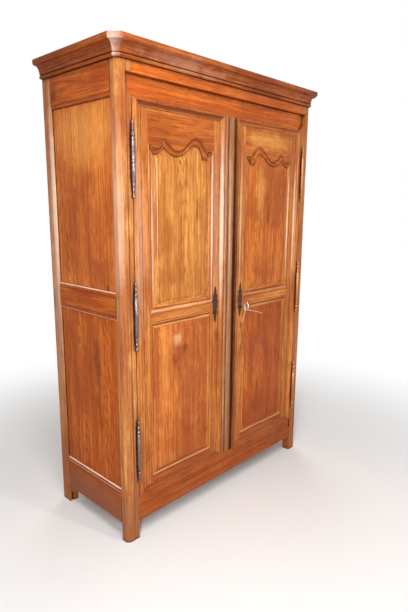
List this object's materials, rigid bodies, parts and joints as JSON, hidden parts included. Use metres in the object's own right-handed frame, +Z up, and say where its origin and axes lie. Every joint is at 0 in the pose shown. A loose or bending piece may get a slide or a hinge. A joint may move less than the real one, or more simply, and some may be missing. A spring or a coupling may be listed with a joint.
{
  "type": "two-door wardrobe",
  "caption": "Tall free-standing oak wardrobe: moulded cornice, two hinged doors with scrolled raised panels, barrel hinges, key lock and hanging rod.",
  "frame": {"origin": "on the floor under the middle of the wardrobe's overall box, the key's bow included", "axes": "+Z up, the doors face -Y, +X to the right as one faces the doors"},
  "size_m": [1.406, 0.6063, 2.1063],
  "materials": {
    "oak_frame": "waxed and polished oak",
    "oak_panel": "waxed and polished oak, lighter and figured",
    "oak_side": "waxed oak, darker",
    "oak_inside": "unpolished oak",
    "hinge_iron": "polished grey iron",
    "lock_iron": "dark iron",
    "string": "cotton string"
  },
  "bodies": {
    "carcass": {"back_panel": "oak_side", "cornice_front": "oak_frame", "cornice_return_left": "oak_frame", "cornice_return_right": "oak_frame", "floor_board": "oak_inside", "frieze_rail": "oak_frame", "front_bottom_rail": "oak_frame", "front_post_left": "oak_frame", "front_post_right": "oak_frame", "hanging_rod": "oak_inside", "hinge_lower_post_knuckle_left": "hinge_iron", "hinge_lower_post_knuckle_right": "hinge_iron", "hinge_middle_post_knuckle_left": "hinge_iron", "hinge_middle_post_knuckle_right": "hinge_iron", "hinge_upper_post_knuckle_left": "hinge_iron", "hinge_upper_post_knuckle_right": "hinge_iron", "rear_bottom_rail": "oak_side", "rear_post_left": "oak_side", "rear_post_right": "oak_side", "rear_top_rail": "oak_side", "side_bottom_rail_left": "oak_side", "side_bottom_rail_right": "oak_side", "side_lower_panel_left": "oak_side", "side_lower_panel_right": "oak_side", "side_middle_rail_left": "oak_side", "side_middle_rail_right": "oak_side", "side_top_rail_left": "oak_side", "side_top_rail_right": "oak_side", "side_upper_panel_left": "oak_side", "side_upper_panel_right": "oak_side", "top_board": "oak_inside"},
    "left_door": {"door_left_bottom_rail": "oak_frame", "door_left_hinge_stile": "oak_frame", "door_left_lower_panel": "oak_panel", "door_left_meeting_stile": "oak_frame", "door_left_middle_rail": "oak_frame", "door_left_top_rail": "oak_frame", "door_left_upper_panel": "oak_panel", "meeting_batten": "oak_frame", "escutcheon_left": "lock_iron", "left_bolt_plate": "hinge_iron", "hinge_lower_door_knuckle_left": "hinge_iron", "hinge_middle_door_knuckle_left": "hinge_iron", "hinge_upper_door_knuckle_left": "hinge_iron"},
    "right_door": {"door_right_bottom_rail": "oak_frame", "door_right_hinge_stile": "oak_frame", "door_right_lower_panel": "oak_panel", "door_right_meeting_stile": "oak_frame", "door_right_middle_rail": "oak_frame", "door_right_top_rail": "oak_frame", "door_right_upper_panel": "oak_panel", "escutcheon_right": "lock_iron", "lock_case": "lock_iron", "hinge_lower_door_knuckle_right": "hinge_iron", "hinge_middle_door_knuckle_right": "hinge_iron", "hinge_upper_door_knuckle_right": "hinge_iron"},
    "left_bolt": {"left_bolt_rod": "hinge_iron"},
    "lock_bolt": {"lock_bolt": "lock_iron"},
    "key": {"key": "lock_iron", "key_string": "string"}
  },
  "joints": [
    {"name": "left_door_hinge", "type": "hinge", "parent": "carcass", "child": "left_door", "pos_m": [-0.597, -0.2527, 0.21], "axis": [0, 0, -1], "range_deg": [0, 165]},
    {"name": "right_door_hinge", "type": "hinge", "parent": "carcass", "child": "right_door", "pos_m": [0.597, -0.2527, 0.21], "axis": [0, 0, 1], "range_deg": [0, 165]},
    {"name": "key_turn", "type": "hinge", "parent": "right_door", "child": "key", "pos_m": [0.095, -0.2444, 0.9905], "axis": [0, 1, 0], "range_deg": [0, 360]},
    {"name": "lock_bolt_slide", "type": "slide", "parent": "right_door", "child": "lock_bolt", "axis": [-1, 0, 0], "range_m": [0, 0.018]},
    {"name": "left_bolt_slide", "type": "slide", "parent": "left_door", "child": "left_bolt", "axis": [0, 0, 1], "range_m": [0, 0.018]}
  ],
  "couplings": [
    {"joint": "lock_bolt_slide", "follows": "key_turn", "m_per_rad": 0.0028647}
  ]
}
